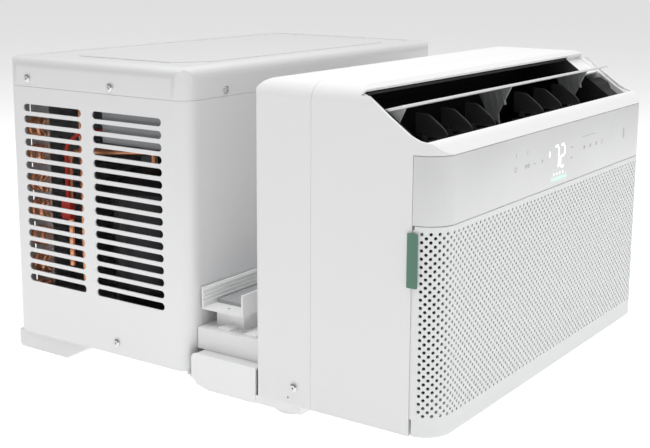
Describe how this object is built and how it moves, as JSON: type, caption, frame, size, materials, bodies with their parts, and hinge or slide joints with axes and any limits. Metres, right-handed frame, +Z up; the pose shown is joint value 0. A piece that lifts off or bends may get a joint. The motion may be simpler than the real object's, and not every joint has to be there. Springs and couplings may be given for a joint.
{
  "type": "window air conditioner",
  "caption": "Saddle-type window air conditioner: an indoor unit with a tilting outlet flap and swinging vanes, a low neck with a sash channel, and a louvred outdoor cabinet.",
  "frame": {"origin": "middle of the underside of the neck, where the window sill carries it", "axes": "+X to the right as seen from the room, +Y outdoors through the window, +Z up"},
  "size_m": [0.5476, 0.604, 0.366],
  "materials": {
    "white_casing": "fine satin moulded texture",
    "panel_white": "smooth satin front panel",
    "white_metal": "baked white enamel on pressed steel",
    "green_tab": "satin green pull tab",
    "black_plastic": "matt black moulding",
    "dark_plastic": "dark grey satin moulding",
    "grey_plastic": "light grey moulding",
    "filter_net": "woven dust net",
    "fin_aluminium": "thin bare fins",
    "copper_tube": "dull drawn copper",
    "bright_steel": "ground steel",
    "motor_grey": "zinc-grey motor and bracket finish",
    "black_enamel": "black compressor enamel",
    "black_rubber": "matt rubber and pipe foam",
    "circuit_board": "green circuit laminate",
    "red_wire": "red wire jacket and connector",
    "screw_zinc": "bright zinc screw heads"
  },
  "bodies": {
    "root": {"front_shell": "white_casing", "rear_shell": "white_casing", "display_panel": "panel_white", "front_grille": "panel_white", "display_board": "circuit_board", "filter_bulkhead": "white_casing", "evaporator_fins": "fin_aluminium", "evaporator_tubes": "copper_tube", "drain_tray": "white_casing", "air_duct": "black_plastic", "vane_rails": "black_plastic", "blower_bearing": "black_rubber", "blower_motor": "motor_grey", "flap_motor": "bright_steel", "flap_motor_cover": "dark_plastic", "neck_cover": "white_casing", "sash_channel": "white_casing", "sash_gasket": "black_rubber", "base_pan": "white_metal", "support_feet": "white_casing", "drain_plug": "black_rubber", "cabinet_wrap": "white_metal", "top_cover": "white_metal", "rear_guard": "white_metal", "condenser_fins": "fin_aluminium", "condenser_tubes": "copper_tube", "fan_shroud": "grey_plastic", "fan_motor": "motor_grey", "motor_bracket": "motor_grey", "compressor": "black_enamel", "accumulator": "black_enamel", "compressor_mounts": "black_rubber", "terminal_cover": "black_plastic", "suction_line": "black_rubber", "copper_lines": "copper_tube", "control_box": "motor_grey", "run_capacitor": "bright_steel", "wire_harness": "red_wire", "cord_gland": "black_rubber", "lid_screws": "screw_zinc", "casing_screws": "screw_zinc"},
    "filter": {"filter_frame": "white_casing", "filter_mesh": "filter_net", "filter_tab": "green_tab"},
    "flap": {"flap_blade": "white_casing", "flap_arms": "grey_plastic", "flap_shaft": "bright_steel"},
    "vane_1": {"vane_1": "dark_plastic"},
    "vane_2": {"vane_2": "dark_plastic"},
    "vane_3": {"vane_3": "dark_plastic"},
    "vane_4": {"vane_4": "dark_plastic"},
    "vane_5": {"vane_5": "dark_plastic"},
    "vane_6": {"vane_6": "dark_plastic"},
    "link_left": {"vane_link_left": "black_plastic"},
    "link_right": {"vane_link_right": "black_plastic"},
    "blower": {"crossflow_fan": "dark_plastic", "blower_shaft": "bright_steel"},
    "fan": {"condenser_fan": "dark_plastic", "fan_motor_shaft": "bright_steel"}
  },
  "joints": [
    {"name": "filter_slide", "type": "slide", "parent": "root", "child": "filter", "axis": [-1, 0, 0], "range_m": [0, 0.5]},
    {"name": "flap_tilt", "type": "hinge", "parent": "root", "child": "flap", "pos_m": [0, -0.19788, 0.28758], "axis": [1, 0, 0], "range_deg": [0, 48.4]},
    {"name": "vane_1_swing", "type": "hinge", "parent": "root", "child": "vane_1", "pos_m": [-0.204, -0.211, 0.298], "axis": [0, 0, 1], "range_deg": [-30, 30]},
    {"name": "vane_2_swing", "type": "hinge", "parent": "root", "child": "vane_2", "pos_m": [-0.152, -0.211, 0.298], "axis": [0, 0, 1], "range_deg": [-30, 30]},
    {"name": "vane_3_swing", "type": "hinge", "parent": "root", "child": "vane_3", "pos_m": [-0.1, -0.211, 0.298], "axis": [0, 0, 1], "range_deg": [-30, 30]},
    {"name": "vane_4_swing", "type": "hinge", "parent": "root", "child": "vane_4", "pos_m": [0.02, -0.211, 0.298], "axis": [0, 0, 1], "range_deg": [-30, 30]},
    {"name": "vane_5_swing", "type": "hinge", "parent": "root", "child": "vane_5", "pos_m": [0.072, -0.211, 0.298], "axis": [0, 0, 1], "range_deg": [-30, 30]},
    {"name": "vane_6_swing", "type": "hinge", "parent": "root", "child": "vane_6", "pos_m": [0.124, -0.211, 0.298], "axis": [0, 0, 1], "range_deg": [-30, 30]},
    {"name": "link_left_pin", "type": "hinge", "parent": "vane_1", "child": "link_left", "pos_m": [-0.204, -0.229, 0.295], "axis": [0, 0, 1], "range_deg": [-30, 30]},
    {"name": "link_right_pin", "type": "hinge", "parent": "vane_4", "child": "link_right", "pos_m": [0.02, -0.229, 0.295], "axis": [0, 0, 1], "range_deg": [-30, 30]},
    {"name": "blower_spin", "type": "hinge", "parent": "root", "child": "blower", "pos_m": [0, -0.134, 0.215], "axis": [1, 0, 0], "continuous": true},
    {"name": "fan_spin", "type": "hinge", "parent": "root", "child": "fan", "pos_m": [0.061, 0.2, 0.165], "axis": [0, 1, 0], "continuous": true}
  ],
  "couplings": [
    {"joint": "vane_2_swing", "follows": "vane_1_swing", "ratio": 1},
    {"joint": "vane_3_swing", "follows": "vane_1_swing", "ratio": 1},
    {"joint": "link_left_pin", "follows": "vane_1_swing", "ratio": -1},
    {"joint": "vane_5_swing", "follows": "vane_4_swing", "ratio": 1},
    {"joint": "vane_6_swing", "follows": "vane_4_swing", "ratio": 1},
    {"joint": "link_right_pin", "follows": "vane_4_swing", "ratio": -1}
  ]
}
